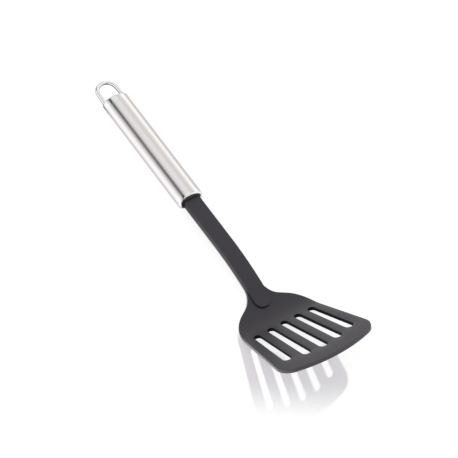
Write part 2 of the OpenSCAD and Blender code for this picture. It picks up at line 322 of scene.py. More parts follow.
class NodeShop:
    """Makes the nodes of one material or of the world."""

    def __init__(self, owner: Union[Material, bpy.types.World]) -> None:
        """Takes over the owner's node tree.

        Args:
            owner: A new material or world.
        """
        owner.use_nodes = True
        self.owner = owner
        self.tree = owner.node_tree
        self.output = next(node for node in self.tree.nodes if node.type.startswith("OUTPUT"))
        self.shader = next(node for node in self.tree.nodes if node != self.output)
        self._object_coords: Optional[Wire] = None

    @classmethod
    def material_named(cls, name: str) -> "NodeShop":
        """Starts a new material with a Principled shader and its output."""
        return cls(bpy.data.materials.new(name))

    def surface(self, shader: Wire) -> None:
        """Makes this shader the owner's surface."""
        self.tree.links.new(shader.socket, self.output.inputs["Surface"])

    def node(self, kind: str, settings: dict, inputs: dict, output: Union[str, int] = 0) -> Wire:
        """Adds one node.

        Args:
            kind: The node's type.
            settings: Its properties, set before its sockets; a ramp's stops are given as "stops".
            inputs: Values or wires by socket name or place.
            output: The output socket that is returned.

        Returns:
            The wrapped output.
        """
        made = self.tree.nodes.new(kind)
        for key, value in settings.items():
            if key == "stops":
                self._set_stops(made.color_ramp, value)
            else:
                setattr(made, key, value)
        for key, value in inputs.items():
            self._give(made.inputs[key], value)
        return Wire(self, made.outputs[output])

    @staticmethod
    def _set_stops(ramp: bpy.types.ColorRamp, stops: Sequence[tuple[float, tuple]]) -> None:
        """Gives a colour ramp these stops.

        Args:
            ramp: The ramp.
            stops: Pairs of place and colour.
        """
        while len(ramp.elements) > 1:
            ramp.elements.remove(ramp.elements[-1])
        ramp.elements[0].position, ramp.elements[0].color = stops[0]
        for place, colour in stops[1:]:
            ramp.elements.new(place).color = colour

    @property
    def coords(self) -> Wire:
        """Object coordinates, in metres."""
        if self._object_coords is None:
            self._object_coords = self.node("ShaderNodeTexCoord", {}, {}, "Object")
        return self._object_coords

    def stretched(self, scale: Coords, turn_y: float = 0.0) -> Wire:
        """Object coordinates turned about Y and scaled, so that a pattern stretches along the handle."""
        turned = self.node("ShaderNodeMapping", {}, {"Vector": self.coords, "Rotation": (0, turn_y, 0)})
        return self.node("ShaderNodeMapping", {}, {"Vector": turned, "Scale": scale})

    def noise(self, vector: Wire, scale: float, detail: float, roughness: float = 0.5) -> Wire:
        """Noise from 0 to 1 on this vector."""
        inputs = {"Vector": vector, "Scale": scale, "Detail": detail, "Roughness": roughness}
        return self.node("ShaderNodeTexNoise", {"noise_dimensions": "3D"}, inputs, 0)

    def axis(self, vector: Wire, axis: Axis) -> Wire:
        """One coordinate of a vector."""
        return self.node("ShaderNodeSeparateXYZ", {}, {0: vector}, axis.value)

    def dot(self, vector: Wire, way: Coords) -> Wire:
        """How far a vector reaches along this way."""
        return self.node("ShaderNodeVectorMath", {"operation": "DOT_PRODUCT"}, {0: vector, 1: way}, "Value")

    def distance(self, vector: Wire, spot: Coords) -> Wire:
        """How far a place is from this spot."""
        return self.node("ShaderNodeVectorMath", {"operation": "DISTANCE"}, {0: vector, 1: spot}, "Value")

    def ray(self, kind: Ray) -> Wire:
        """1 for rays of this kind and 0 for the others."""
        return self.node("ShaderNodeLightPath", {}, {}, kind.value)

    @staticmethod
    def opaque(colour: Union[Wire, Colour]) -> Union[Wire, tuple[float, ...]]:
        """A colour as a socket takes it, with its alpha; a wire stays as it is."""
        return colour if isinstance(colour, Wire) else (*colour, 1)

    def mixed(self, factor: Wire, low: Union[Wire, Colour], high: Union[Wire, Colour]) -> Wire:
        """A colour between two colours."""
        settings = {"data_type": "RGBA", "clamp_factor": True}
        inputs = {0: factor, 6: self.opaque(low), 7: self.opaque(high)}
        return self.node("ShaderNodeMix", settings, inputs, 2)

    def shaded(self, factor: Wire, colour: Colour, darkest: float) -> Wire:
        """A colour that goes down to this share of itself where the factor is 0."""
        return self.mixed(factor, tuple(darkest * part for part in colour), colour)

    def emission(self, colour: Union[Wire, Colour], strength: float = 1.0) -> Wire:
        """A shader that glows."""
        return self.node("ShaderNodeEmission", {}, {"Color": self.opaque(colour), "Strength": strength})

    def blended(self, factor: Wire, low: Wire, high: Wire) -> Wire:
        """A shader between two shaders."""
        return self.node("ShaderNodeMixShader", {}, {0: factor, 1: low, 2: high})

    def added(self, one: Wire, other: Wire) -> Wire:
        """The sum of two shaders."""
        return self.node("ShaderNodeAddShader", {}, {0: one, 1: other})

    def bump(self, height: Wire, strength: float, distance: float) -> Wire:
        """A bumped normal from a height."""
        inputs = {"Height": height, "Strength": strength, "Distance": distance}
        return self.node("ShaderNodeBump", {}, inputs, "Normal")

    @property
    def base(self) -> Wire:
        """The owner's first shader."""
        return Wire(self, self.shader.outputs[0])

    def feed(self, name: str, value: Union[Wire, Number, tuple]) -> None:
        """Sets or links one socket of the owner's first shader."""
        self._give(self.shader.inputs[name], value)

    def _give(self, socket: bpy.types.NodeSocket, value: Union[Wire, Number, tuple]) -> None:
        """Links a wire to a socket, or sets the socket's value.

        Args:
            socket: An input socket.
            value: A wire or a plain value.
        """
        if isinstance(value, Wire):
            self.tree.links.new(value.socket, socket)
        else:
            socket.default_value = value


# Finishes


@dataclass(frozen=True)
class NylonFinish:
    """Matt black nylon with the fine grain of its mould, with a painted sheen that lightens it towards the
    blade's front; faces marked as the slots' walls get painted shade, darker and duller.
    """

    name: str = "moulded_nylon"
    dark: Colour = (0.027, 0.0235, 0.032)
    light: Colour = (0.035, 0.0305, 0.04)
    # Painted sheen: a lighter colour towards the blade's front, standing in for light on it
    front: Colour = (0.06, 0.0535, 0.066)
    painted_sheen_step: Step = Step(0.1, 0.17)
    # Painted shade in the slots' walls: a near-black copy of the nylon, duller and less shiny
    wall: Colour = (0.004, 0.0035, 0.0045)
    shaded_wall_rough: float = 0.8
    shaded_wall_shine: float = 0.12
    rough: float = 0.37
    cloud: float = 45.0
    cloud_share: float = 0.7
    cloud_rough: float = 0.08
    grain: float = 1500.0
    grain_rough: float = 0.12
    grain_strength: float = 0.35
    grain_height: float = 0.00006

    def make(self) -> Material:
        """Builds the material.

        Returns:
            The material.
        """
        shop = NodeShop.material_named(self.name)
        cloud = shop.noise(shop.coords, self.cloud, 3)
        speck = shop.noise(shop.coords, self.grain, 2)
        even = shop.mixed(cloud.shared(speck, self.cloud_share), self.dark, self.light)
        # Painted sheen: the colour lightens towards the blade's front
        painted_front_sheen = shop.axis(shop.coords, Axis.X).through(self.painted_sheen_step)
        shop.feed("Base Color", shop.mixed(painted_front_sheen, even, self.front))
        shop.feed("Roughness", cloud.swing(self.cloud_rough) + speck.swing(self.grain_rough) + self.rough)
        grain = shop.bump(speck, self.grain_strength, self.grain_height)
        shop.feed("Normal", grain)
        # Painted shade: this near-black copy is blended in on the faces marked as the slots' walls
        wall = shop.node("ShaderNodeBsdfPrincipled", {}, {
            "Base Color": shop.opaque(self.wall),
            "Roughness": self.shaded_wall_rough,
            "Specular IOR Level": self.shaded_wall_shine,
            "Normal": grain,
        })
        painted_slot_shade = shop.node("ShaderNodeAttribute", {"attribute_name": PAINTED_SHADE_LAYER}, {}, "Fac")
        shop.surface(shop.blended(painted_slot_shade, shop.base, wall))
        return shop.owner


@dataclass(frozen=True)
class BrushedFinish:
    """Satin steel, brushed along the handle."""

    name: str
    colour: Colour = (0.885, 0.85, 0.856)
    darkest: float = 0.94
    rough: float = 0.21
    tilt: float = 0.0
    fine: Coords = (22.0, 2600.0, 2600.0)
    fine_share: float = 0.6
    fine_rough: float = 0.16
    coarse: Coords = (11.0, 520.0, 520.0)
    coarse_rough: float = 0.08
    smear: float = 35.0
    smear_rough: float = 0.05
    scratch_share: float = 0.7
    scratch_strength: float = 0.25
    scratch_height: float = 0.00001

    def make(self) -> Material:
        """Builds the material.

        Returns:
            The material.
        """
        shop = NodeShop.material_named(self.name)
        fine = shop.noise(shop.stretched(self.fine, self.tilt), 1, 3, roughness=0.6)
        coarse = shop.noise(shop.stretched(self.coarse, self.tilt), 1, 2)
        smear = shop.noise(shop.coords, self.smear, 2)
        grain = fine.shared(coarse, self.fine_share)
        shop.feed("Base Color", shop.shaded(grain, self.colour, self.darkest))
        shop.feed("Metallic", 1.0)
        brushed = fine.swing(self.fine_rough) + coarse.swing(self.coarse_rough)
        shop.feed("Roughness", brushed + smear.swing(self.smear_rough) + self.rough)
        scratches = fine.shared(coarse, self.scratch_share)
        shop.feed("Normal", shop.bump(scratches, self.scratch_strength, self.scratch_height))
        return shop.owner


@dataclass(frozen=True)
class PolishedFinish:
    """Polished steel with faint wipe marks."""

    name: str
    colour: Colour = (0.88, 0.88, 0.885)
    rough: float = 0.09
    darkest: float = 0.94
    smear: float = 60.0
    smear_rough: float = 0.05
    hair: Coords = (300.0, 4000.0, 4000.0)
    hair_rough: float = 0.04
    wipe_share: float = 0.8
    wipe_strength: float = 0.08
    wipe_height: float = 0.00002

    def make(self) -> Material:
        """Builds the material.

        Returns:
            The material.
        """
        shop = NodeShop.material_named(self.name)
        smear = shop.noise(shop.coords, self.smear, 3)
        hair = shop.noise(shop.stretched(self.hair), 1, 2)
        shop.feed("Base Color", shop.shaded(smear, self.colour, self.darkest))
        shop.feed("Metallic", 1.0)
        shop.feed("Roughness", smear.swing(self.smear_rough) + hair.swing(self.hair_rough) + self.rough)
        wipes = smear.shared(hair, self.wipe_share)
        shop.feed("Normal", shop.bump(wipes, self.wipe_strength, self.wipe_height))
        return shop.owner


@dataclass(frozen=True)
class PlainFinish:
    """Plain moulded plastic or ground steel of the hidden pieces."""

    name: str
    colour: Colour
    metal: float = 0.0
    rough: float = 0.45
    darkest: float = 0.88
    cloud: float = 90.0
    cloud_rough: float = 0.12
    grain: float = 900.0
    grain_strength: float = 0.15
    grain_height: float = 0.00003

    def make(self) -> Material:
        """Builds the material.

        Returns:
            The material.
        """
        shop = NodeShop.material_named(self.name)
        cloud = shop.noise(shop.coords, self.cloud, 3)
        grain = shop.noise(shop.coords, self.grain, 2)
        shop.feed("Base Color", shop.shaded(cloud, self.colour, self.darkest))
        shop.feed("Metallic", self.metal)
        shop.feed("Roughness", cloud.swing(self.cloud_rough) + self.rough)
        shop.feed("Normal", shop.bump(grain, self.grain_strength, self.grain_height))
        return shop.owner


# Mesh helpers


def arc(centre: Point, radius: float, start: float, end: float, steps: int) -> list[Point]:
    """Points along an arc.

    Args:
        centre: Its centre.
        radius: Its radius.
        start: Angle of the first point, in degrees.
        end: Angle of the last point, in degrees.
        steps: Steps between them.

    Returns:
        steps + 1 points.
    """
    angles = [math.radians(start + (end - start) * i / steps) for i in range(steps + 1)]
    return [(centre[0] + radius * math.cos(a), centre[1] + radius * math.sin(a)) for a in angles]


def rounded(a: Point, b: Point, c: Point, radius: float, steps: int) -> list[Point]:
    """The arc that rounds the corner at b between a and c.

    Args:
        a: A point before the corner.
        b: The corner.
        c: A point after it.
        radius: Radius of the arc.
        steps: Steps along it.

    Returns:
        The arc's points, from the side of a to the side of c.
    """
    corner = Vector(b)
    u = (Vector(a) - corner).normalized()
    v = (Vector(c) - corner).normalized()
    half = math.acos(u.dot(v)) / 2
    centre = corner + (u + v).normalized() * radius / math.sin(half)
    from_way = corner + u * radius / math.tan(half) - centre
    turn = math.degrees(math.pi - 2 * half) * math.copysign(1, u.x * v.y - u.y * v.x)
    start = math.degrees(math.atan2(from_way.y, from_way.x))
    return arc(tuple(centre), radius, start, start - turn, steps)


def meeting(p: Point, a: float, q: Point, b: float) -> Point:
    """Where two lines meet.

    Args:
        p: A point on the first line.
        a: The first line's angle, in degrees.
        q: A point on the second line.
        b: The second line's angle, in degrees.

    Returns:
        Where they meet.
    """
    u = Vector((math.cos(math.radians(a)), math.sin(math.radians(a))))
    v = Vector((math.cos(math.radians(b)), math.sin(math.radians(b))))
    gap = Vector(q) - Vector(p)
    share = (gap.x * v.y - gap.y * v.x) / (u.x * v.y - u.y * v.x)
    return p[0] + u.x * share, p[1] + u.y * share


def mirrored(points: Sequence[Point]) -> list[Point]:
    """A half outline that ends on y = 0 and its mirror image, as one closed outline."""
    return list(points) + [(x, -y) for x, y in reversed(points[:-1])]


def draw_loop(mesh: Mesh, corners: Sequence[Coords]) -> Edges:
    """Draws a closed loop of edges through these corners."""
    verts = [mesh.verts.new(corner) for corner in corners]
    return [mesh.edges.new(pair) for pair in zip(verts, verts[1:] + verts[:1])]


def bridge(mesh: Mesh, loops: Sequence[Edges]) -> None:
    """Joins each loop to the next with faces."""
    for one, other in zip(loops, loops[1:]):
        bmesh.ops.bridge_loops(mesh, edges=one + other)


def verts_in(made: Sequence) -> list[bmesh.types.BMVert]:
    """The vertices among what an operator made."""
    return [item for item in made if isinstance(item, bmesh.types.BMVert)]


def edges_in(made: Sequence) -> Edges:
    """The edges among what an operator made."""
    return [item for item in made if isinstance(item, bmesh.types.BMEdge)]


def circle(mesh: Mesh, sides: int, radius: float, matrix: Matrix, capped: bool = False) -> Edges:
    """Draws a circle, open or filled, and gives back its edges."""
    made = bmesh.ops.create_circle(mesh, cap_ends=capped, segments=sides, radius=radius, matrix=matrix)
    return list({edge for vert in made["verts"] for edge in vert.link_edges})


def soften(mesh: Mesh, width: float, segments: int, angle: float) -> None:
    """Bevels every edge that turns by more than this angle.

    Args:
        mesh: The mesh.
        width: Width of the bevel.
        segments: Steps across it.
        angle: Least turn between the two faces, in degrees.
    """
    sharp = [e for e in mesh.edges if len(e.link_faces) == 2 and e.calc_face_angle() > math.radians(angle)]
    bmesh.ops.bevel(
        mesh, geom=sharp, offset=width, offset_type="OFFSET", segments=segments, profile=0.5,
        affect="EDGES", material=-1, clamp_overlap=True,
    )


# Pieces


def put(name: str, data: bpy.types.ID) -> Object:
    """Puts a new object with this data in the scene."""
    made = bpy.data.objects.new(name, data)
    bpy.context.scene.collection.objects.link(made)
    return made


@dataclass
class Maker:
    """Makes pieces of the turner in the handle's frame, and lays each one down."""

    sizes: Sizes
    place: Placement

    def lay_down(self, mesh: Mesh, name: str, material: Material, slot: str, node: str) -> Object:
        """Lays a mesh down where it rests and makes it a piece of the turner.

        Args:
            mesh: The mesh, in the handle's frame and in millimetres.
            name: The piece's name.
            material: Its finish.
            slot: The record's material slot; not used.
            node: The CAD node that it replaces.

        Returns:
            The new object.
        """
        bmesh.ops.transform(mesh, matrix=self.place.matrix, verts=mesh.verts)
        bmesh.ops.recalc_face_normals(mesh, faces=mesh.faces)
        data = bpy.data.meshes.new(name)
        mesh.to_mesh(data)
        mesh.free()
        data.materials.append(material)
        data.shade_smooth()
        data.set_sharp_from_angle(angle=math.radians(SMOOTH_ANGLE))
        piece = put(name, data)
        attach(piece, "root")
        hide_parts(node)
        LOG.info("%s: %d faces", name, len(data.polygons))
        return piece


@dataclass
class OvalLoft:
    """A body drawn through ovals along the handle's axis; half and at belong to the last oval."""

    width: float
    height: float
    sides: int
    mesh: Mesh = field(default_factory=bmesh.new)
    first: Edges = field(default_factory=list)
    edges: Edges = field(default_factory=list)
    half: Point = (1.0, 1.0)
    at: float = 0.0

    def station(self, x: float, inset: float) -> None:
        """Adds an oval, joined to the one before.

        Args:
            x: Where it lies along the handle.
            inset: How far it is drawn in.
        """
        if self.edges:
            made = bmesh.ops.extrude_edge_only(self.mesh, edges=self.edges)["geom"]
            ring, self.edges = verts_in(made), edges_in(made)
        else:
            turn = Matrix.Rotation(math.pi / 2, 4, "Y")
            self.first = self.edges = circle(self.mesh, self.sides, 1, turn)
            ring = list(self.mesh.verts)
        half = (self.width / 2 - inset, self.height / 2 - inset)
        bmesh.ops.scale(self.mesh, vec=(1, half[0] / self.half[0], half[1] / self.half[1]), verts=ring)
        bmesh.ops.translate(self.mesh, vec=(x - self.at, 0, 0), verts=ring)
        self.half, self.at = half, x

    def draw(self, stations: Sequence[Point]) -> None:
        """Adds an oval for each pair of x and inset."""
        for x, inset in stations:
            self.station(x, inset)

    def close_ends(self) -> None:
        """Fills the first oval and the last one with a face."""
        bmesh.ops.edgeloop_fill(self.mesh, edges=self.first)
        bmesh.ops.edgeloop_fill(self.mesh, edges=self.edges)

    def close_ring(self) -> None:
        """Joins the last oval back to the first, for a tube."""
        bmesh.ops.bridge_loops(self.mesh, edges=self.edges + self.first)


def edge_profile(end_x: float, radius: float, facing: Facing, steps: int) -> list[Point]:
    """Stations of a rounded edge, from the full oval to the end face.

    Args:
        end_x: The end face's x.
        radius: Radius of the rounding.
        facing: Which way the end face looks.
        steps: Steps round it.

    Returns:
        Pairs of x and inset.
    """
    turns = [math.pi / 2 * i / steps for i in range(steps + 1)]
    return [(end_x - facing.value * radius * (1 - math.sin(t)), radius * (1 - math.cos(t))) for t in turns]


# The head


@dataclass
class SideLine:
    """The neck and the blade from the side: straight neck, upper bend, heel and flat."""

    sizes: Sizes
    start_x: float = -8.5
    bend_step: float = 3.0
    heel_step: float = 1.2

    def __post_init__(self) -> None:
        """Works out the lengths along the blade's top surface, which outlines are measured on."""
        size = self.sizes
        self.dip = math.radians(size.neck_dip)
        self.rise = math.radians(size.blade_rise)
        self.bend_ref = size.neck_bend_r + size.blade_t
        self.heel_ref = size.heel_r - size.blade_t
        self.bend_from = size.neck_straight
        self.heel_from = self.bend_from + self.bend_ref * self.dip
        self.flat_from = self.heel_from + self.heel_ref * (self.dip + self.rise)

    def along(self, x: float) -> float:
        """Length along the top surface at a place of the plan view.

        Args:
            x: Distance along the handle's axis.

        Returns:
            The length.
        """
        size = self.sizes
        if x <= self.bend_from:
            return x
        bend = (x - size.neck_straight) / self.bend_ref
        if bend <= math.sin(self.dip):
            return self.bend_from + self.bend_ref * math.asin(bend)
        heel = (x - size.heel_c[0]) / self.heel_ref
        if heel <= math.sin(self.rise):
            return self.heel_from + self.heel_ref * (math.asin(heel) + self.dip)
        past = x - size.heel_c[0] - self.heel_ref * math.sin(self.rise)
        return self.flat_from + past / math.cos(self.rise)

    def place(self, u: float, y: float, lift: float) -> Vector:
        """Where a point of the flat moulding lies once it is bent.

        Args:
            u: Length along the top surface.
            y: Distance across.
            lift: Height above the underside.

        Returns:
            The point.
        """
        size = self.sizes
        if u <= self.bend_from:
            return Vector((u, y, lift - size.neck_t / 2))
        if u <= self.heel_from:
            turn = (u - self.bend_from) / self.bend_ref
            radius = size.neck_bend_r + lift
            low = -size.neck_t / 2 - size.neck_bend_r
            return Vector((size.neck_straight + radius * math.sin(turn), y, low + radius * math.cos(turn)))
        x, z = size.heel_c
        radius = size.heel_r - lift
        if u <= self.flat_from:
            turn = (u - self.heel_from) / self.heel_ref - self.dip
            return Vector((x + radius * math.sin(turn), y, z - radius * math.cos(turn)))
        past = u - self.flat_from
        sine, cosine = math.sin(self.rise), math.cos(self.rise)
        return Vector((x + radius * sine + past * cosine, y, z - radius * cosine + past * sine))

    @staticmethod
    def _steps(start: float, end: float, step: float) -> list[float]:
        """Lengths from the start to the end, this step apart."""
        return [start + i * step for i in range(int((end - start) / step) + 1)]

    def bend(self, mesh: Mesh) -> None:
        """Cuts a flat moulding into short steps where it bends, and bends it.

        Args:
            mesh: The moulding, drawn flat.
        """
        cuts = self._steps(self.bend_from, self.heel_from, self.bend_step)
        cuts += self._steps(self.heel_from, self.flat_from, self.heel_step)
        for cut in cuts + [self.flat_from]:
            bmesh.ops.bisect_plane(
                mesh, geom=mesh.verts[:] + mesh.edges[:] + mesh.faces[:],
                plane_co=(cut, 0, 0), plane_no=(1, 0, 0), dist=CUT_GAP,
            )
        for vert in mesh.verts:
            vert.co = self.place(*vert.co)


@dataclass
class SlotRow:
    """Five tapered slots that fan out across the flat blade."""

    count: int = 5
    rear_r: float = 2.9
    front_r: float = 3.7
    rear_pitch: float = 12.9
    front_pitch: float = 14.65
    rear_at: float = 1.5
    front_at: float = 53.8
    rear_offset: float = 0.35
    front_setback: float = 1.65
    steps: int = 14

    def outlines(self, flat_from: float) -> list[list[Point]]:
        """Each slot's outline on the unrolled blade.

        Args:
            flat_from: Length along the blade where the flat starts.

        Returns:
            One closed outline per slot.
        """
        found = []
        for number in range(self.count):
            k = number - (self.count - 1) / 2
            rear = Vector((flat_from + self.rear_at + self.rear_offset * abs(k), self.rear_pitch * k))
            front = Vector((flat_from + self.front_at - self.front_setback * k * k, self.front_pitch * k))
            way = math.degrees(math.atan2(front.y - rear.y, front.x - rear.x))
            lean = math.degrees(math.asin((self.front_r - self.rear_r) / (front - rear).length))
            found.append(
                arc(tuple(rear), self.rear_r, way + 90 + lean, way + 270 - lean, self.steps)
                + arc(tuple(front), self.front_r, way - 90 - lean, way + 90 + lean, self.steps)
            )
        return found


@dataclass
class Head(Maker):
    """The nylon moulding: slotted blade, heel, and the neck with its raised round end."""

    slots: SlotRow = field(default_factory=SlotRow)
    rim: float = 0.3
    rim_segments: int = 4
    pad_inset: float = 0.3
    pad_sink: float = 1.0
    pad_rim: float = 0.9
    pad_segments: int = 6
    sharp: float = 60.0
    upright: float = 0.5
    steps: int = 26

    def __post_init__(self) -> None:
        """Prepares the side line."""
        self.line = SideLine(self.sizes)

    def blade_outline(self) -> list[Point]:
        """The unrolled outline of the neck and the blade.

        Returns:
            The closed outline.
        """
        size, line = self.sizes, self.line
        half_neck = size.neck_w / 2
        foot = (size.heel_c[0] - size.shoulder_back, half_neck)
        side = (size.flat_start[0], size.heel_w / 2)
        top = meeting(foot, size.shoulder_slope, side, size.flare)
        before = (foot[0] - size.neck_fillet_r, half_neck)
        plan = rounded(before, foot, top, size.neck_fillet_r, self.steps)
        plan += rounded(foot, top, side, size.shoulder_r, self.steps)
        half = [(line.start_x, half_neck), (line.bend_from, half_neck)]
        half += [(line.along(x), y) for x, y in plan]
        half += [(line.flat_from + x, y) for x, y in self.front_half()]
        return mirrored(half)

    def front_half(self) -> list[Point]:
        """The flat's outline from the front corner to the middle of the front edge.

        Returns:
            Its points, with x from the start of the flat.
        """
        size = self.sizes
        flare = math.radians(size.flare)
        start = Vector((0, size.heel_w / 2))
        start += size.front_corner_r * Vector((math.sin(flare), -math.cos(flare)))
        front_c = Vector((size.flat_l - size.front_r, 0))
        way = Vector((math.cos(flare), math.sin(flare)))
        gap = start - front_c
        along = gap.dot(way)
        short = gap.length_squared - (size.front_r - size.front_corner_r) ** 2
        corner_c = start + way * (math.sqrt(along * along - short) - along)
        end = math.degrees(math.atan2(corner_c.y, corner_c.x - front_c.x))
        corner = arc(tuple(corner_c), size.front_corner_r, 90 + size.flare, end, self.steps)
        return corner + arc(tuple(front_c), size.front_r, end, 0, self.steps)[1:]

    def plate(self, outlines: Sequence[Sequence[Point]], low: float, high: float) -> Mesh:
        """A flat plate with holes.

        Args:
            outlines: The outer outline, then the holes.
            low: Height of its underside.
            high: Height of its top.

        Returns:
            The closed plate, not yet bent.
        """
        mesh = bmesh.new()
        edges: Edges = []
        for outline in outlines:
            edges += draw_loop(mesh, [(x, y, low) for x, y in outline])
        bmesh.ops.triangle_fill(mesh, use_beauty=True, use_dissolve=False, edges=edges)
        grown = bmesh.ops.extrude_face_region(mesh, geom=mesh.faces[:], use_keep_orig=True)["geom"]
        bmesh.ops.translate(mesh, vec=(0, 0, high - low), verts=verts_in(grown))
        bmesh.ops.remove_doubles(mesh, verts=mesh.verts, dist=MERGE_GAP)
        bmesh.ops.recalc_face_normals(mesh, faces=mesh.faces)
        return mesh

    def build(self, material: Material) -> Object:
        """Models the head.

        Args:
            material: Its finish.

        Returns:
            The head's object.
        """
        outlines = [self.blade_outline()] + self.slots.outlines(self.line.flat_from)
        blade = self.plate(outlines, 0, self.sizes.blade_t)
        soften(blade, self.rim, self.rim_segments, self.sharp)
        self.mark_shaded_walls(blade)
        self.line.bend(blade)
        pad = self.pad()
        self.line.bend(pad)
        raised = bpy.data.meshes.new("pad")
        pad.to_mesh(raised)
        pad.free()
        blade.from_mesh(raised)
        bpy.data.meshes.remove(raised)
        return self.lay_down(blade, "nylon_head", material, "nylon", "slotted_head")

    def mark_shaded_walls(self, mesh: Mesh) -> None:
        """Marks the slots' walls on the flat moulding, so that the finish paints shade on them.

        Args:
            mesh: The moulding, drawn flat.
        """
        # The faces marked here, the slots' walls, get painted shade in the finish
        painted_slot_shade = mesh.faces.layers.float.new(PAINTED_SHADE_LAYER)
        slots = self.slots
        side = slots.front_pitch * (slots.count - 1) / 2 + slots.front_r
        rear = self.line.flat_from - 2 * slots.rear_r
        front = self.line.flat_from + slots.front_at + 2 * slots.front_r
        for face in mesh.faces:
            centre = face.calc_center_median()
            inside = abs(centre.y) < side and rear < centre.x < front
            face[painted_slot_shade] = float(inside and abs(face.normal.z) < self.upright)

    def pad(self) -> Mesh:
        """The neck's raised upper layer, narrower than the neck, with its round end on the heel.

        Returns:
            The layer, drawn flat.
        """
        size, line = self.sizes, self.line
        half = size.neck_w / 2 - self.pad_inset
        tip = line.along(size.heel_c[0])
        outline = [(line.start_x, -half), (line.bend_from, -half)]
        outline += arc((tip - half, 0), half, -90, 90, 2 * self.steps)
        outline += [(line.bend_from, half), (line.start_x, half)]
        mesh = self.plate([outline], size.blade_t - self.pad_sink, size.neck_t)
        soften(mesh, self.pad_rim, self.pad_segments, self.sharp)
        return mesh


# The handle


@dataclass
class Handle(Maker):
    """The oval steel tube, its two end caps and the collar in the front cap's mouth."""

    sides: int = 160
    seam: float = 0.12
    round_steps: int = 10
    corner_steps: int = 8
    mouth_steps: int = 39

    def oval(self) -> OvalLoft:
        """A new body of the handle's oval."""
        return OvalLoft(self.sizes.handle_w, self.sizes.handle_h, self.sides)

    def tube(self, material: Material) -> Object:
        """Models the satin tube with a fine broken edge at each seam.

        Args:
            material: Its finish.

        Returns:
            The new object.
        """
        size, loft = self.sizes, self.oval()
        front, rear, wall = size.tube_front_x, size.tube_rear_x, size.tube_wall
        rear_end = [(rear, wall), (rear, self.seam), (rear + self.seam, 0)]
        front_end = [(front - self.seam, 0), (front, self.seam), (front, wall)]
        loft.draw(rear_end + front_end)
        loft.close_ring()
        return self.lay_down(loft.mesh, "satin_tube", material, "brushed_tube", "handle_tube")

    def rear(self, material: Material) -> Object:
        """Models the polished rear cap.

        Args:
            material: Its finish.

        Returns:
            The new object.
        """
        size, loft = self.sizes, self.oval()
        joint, inner = size.tube_rear_x, size.tube_wall + size.fit_gap
        end = joint + size.rear_spigot_l
        loft.draw([(end, inner), (joint, inner), (joint, self.seam), (joint - self.seam, 0)])
        loft.draw(edge_profile(size.rear_face_x, size.rear_cap_round, Facing.REAR, self.round_steps))
        loft.close_ends()
        return self.lay_down(loft.mesh, "rear_end_cap", material, "polished_steel", "rear_cap")

    @staticmethod
    def block_ring(mesh: Mesh, x: float, half: Point, radius: float, steps: int) -> Edges:
        """Draws a ring round a block with rounded corners.

        Args:
            mesh: The mesh it joins.
            x: Where it lies along the handle.
            half: Half its width and half its height.
            radius: Radius of its corners.
            steps: Steps round each corner.

        Returns:
            Its edges.
        """
        across, up = half[0] - radius, half[1] - radius
        outline: list[Point] = []
        for turn, (y, z) in enumerate([(across, up), (-across, up), (-across, -up), (across, -up)]):
            outline += arc((y, z), radius, 90 * turn, 90 * turn + 90, steps)
        return draw_loop(mesh, [(x, y, z) for y, z in outline])

    def mouth_ring(self, mesh: Mesh, x: float, inset: float) -> Edges:
        """Draws the mouth's outline.

        Args:
            mesh: The mesh it joins.
            x: Where it lies along the handle.
            inset: How far it is drawn in.

        Returns:
            Its edges.
        """
        size = self.sizes
        across, up = size.handle_w / 2 - size.mouth_inset, size.handle_h / 2 - size.mouth_inset
        radius = up - size.mouth_side_flat
        return self.block_ring(mesh, x, (across - inset, up - inset), radius - inset, self.mouth_steps)

    def neck_ring(self, mesh: Mesh, x: float, gap: float, radius: float) -> Edges:
        """A ring round the neck at this x, with this gap and these rounded corners."""
        half = (self.sizes.neck_w / 2 + gap, self.sizes.neck_t / 2 + gap)
        return self.block_ring(mesh, x, half, radius, self.corner_steps)

    def lean_back(self, mesh: Mesh) -> None:
        """Leans the front end back at its top; the lean fades out towards the tube.

        Args:
            mesh: The mesh of the cap or the collar.
        """
        lean = math.tan(math.radians(self.sizes.mouth_slant))
        for vert in mesh.verts:
            share = max(0.0, 1 - vert.co.x / self.sizes.tube_front_x)
            vert.co.x -= vert.co.z * lean * share

    def front(self, material: Material) -> Object:
        """Models the polished front cap with its mouth.

        Args:
            material: Its finish.

        Returns:
            The new object.
        """
        size, loft = self.sizes, self.oval()
        joint, inner = size.tube_front_x, size.tube_wall + size.fit_gap
        back = joint - size.front_spigot_l
        loft.draw([(back, inner), (joint, inner), (joint, self.seam), (joint + self.seam, 0)])
        loft.draw(edge_profile(0, size.front_cap_round, Facing.FRONT, self.round_steps))
        mesh = loft.mesh
        mouth = [(0, -self.seam), (-self.seam, 0), (back, 0)]
        rings = [self.mouth_ring(mesh, x, inset) for x, inset in mouth]
        bridge(mesh, [loft.edges] + rings + [loft.first])
        self.lean_back(mesh)
        return self.lay_down(mesh, "front_end_cap", material, "polished_steel", "front_cap")

    def collar(self, material: Material) -> Object:
        """Models the nylon collar that fills the mouth, grooved where it meets the neck.

        Args:
            material: Its finish.

        Returns:
            The new object.
        """
        size, seam, gap = self.sizes, self.seam, self.sizes.slip_gap
        back, face = size.tube_front_x - size.front_spigot_l, -size.collar_recess
        bottom, outer = face - size.groove_depth, gap + size.groove_w
        corner, inner_corner = size.groove_corner_r, size.groove_corner_r - size.groove_w
        mesh = bmesh.new()
        rings = [
            self.mouth_ring(mesh, back, gap),
            self.mouth_ring(mesh, face - 2 * seam, gap),
            self.mouth_ring(mesh, face - seam / 2, gap + seam / 2),
            self.mouth_ring(mesh, face, gap + 2 * seam),
            self.neck_ring(mesh, face, outer + seam, corner + seam),
            self.neck_ring(mesh, face - seam, outer, corner),
            self.neck_ring(mesh, bottom, outer, corner),
            self.neck_ring(mesh, bottom, gap, inner_corner),
            self.neck_ring(mesh, back, gap, inner_corner),
        ]
        bridge(mesh, rings + rings[:1])
        self.lean_back(mesh)
        return self.lay_down(mesh, "mouth_collar", material, "collar_nylon", "neck_collar")


